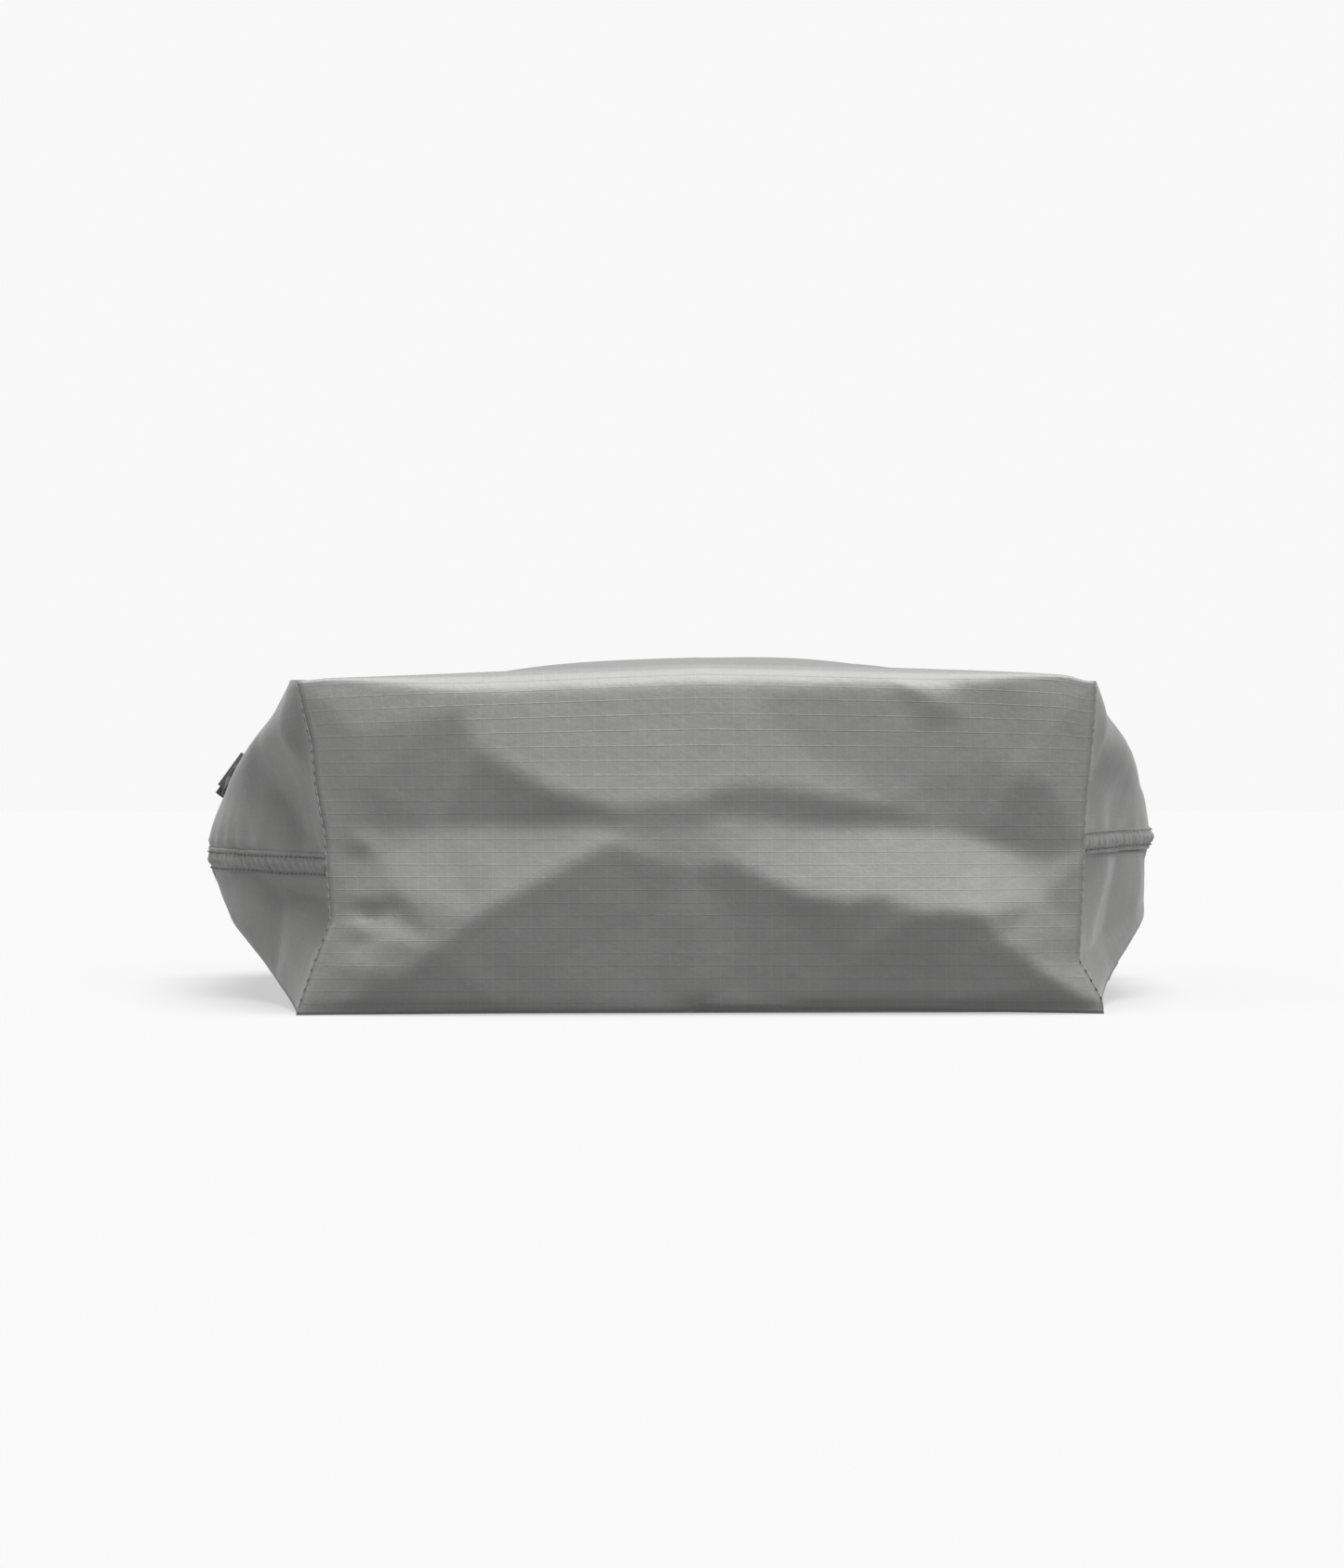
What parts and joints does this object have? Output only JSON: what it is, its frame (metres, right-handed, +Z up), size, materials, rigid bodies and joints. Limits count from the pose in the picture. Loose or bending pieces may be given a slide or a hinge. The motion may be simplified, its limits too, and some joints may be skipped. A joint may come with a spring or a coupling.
{
  "type": "laundry bag",
  "caption": "Drawstring laundry bag of light ripstop cloth with a boxed flat base, gathered mouth, drawcord, cord lock and hang loop, lying full on its back.",
  "frame": {"origin": "on the surface that the bag lies on, below the middle of its length and width, measured on the bag without its free drawcord", "axes": "+Y along the bag from its base to its mouth, +Z up through its front panel, +X across it, to the right when facing the base"},
  "size_m": [0.4169, 0.39, 0.145],
  "materials": {
    "cloth": "ripstop nylon, soft sheen",
    "seam_cloth": "ripstop nylon folded and stitched",
    "thread": "polyester sewing thread",
    "binding": "woven binding tape",
    "eyelet_metal": "gunmetal plating",
    "cord": "braided polyester",
    "lock_plastic": "fine-grained moulded plastic",
    "button_plastic": "fine-grained moulded plastic",
    "spring_steel": "drawn wire",
    "webbing": "woven webbing",
    "label": "woven satin"
  },
  "bodies": {
    "bag": {"base_panel": "cloth", "front_panel": "cloth", "back_panel": "cloth", "left_side_seam": "seam_cloth", "right_side_seam": "seam_cloth", "side_seam_threads": "thread", "left_corner_binding": "binding", "right_corner_binding": "binding", "hem": "cloth", "hem_threads": "thread", "eyelets": "eyelet_metal", "eyelet_washers": "eyelet_metal", "drawcord_in_hem": "cord", "drawcord_loop": "cord", "hang_loop": "webbing", "care_label": "label"},
    "lock": {"cord_lock_body": "lock_plastic", "cord_lock_spring": "spring_steel"},
    "button": {"cord_lock_button": "button_plastic"}
  },
  "joints": [
    {"name": "lock_slide", "type": "slide", "parent": "bag", "child": "lock", "axis": [0, 1, 0], "range_m": [0, 0.028]},
    {"name": "button_press", "type": "slide", "parent": "lock", "child": "button", "axis": [0.5878, 0, 0.809], "range_m": [0, 0.003], "stiffness_N_per_m": 300, "springref_m": -0.002, "deforming": ["cord_lock_spring"]}
  ]
}
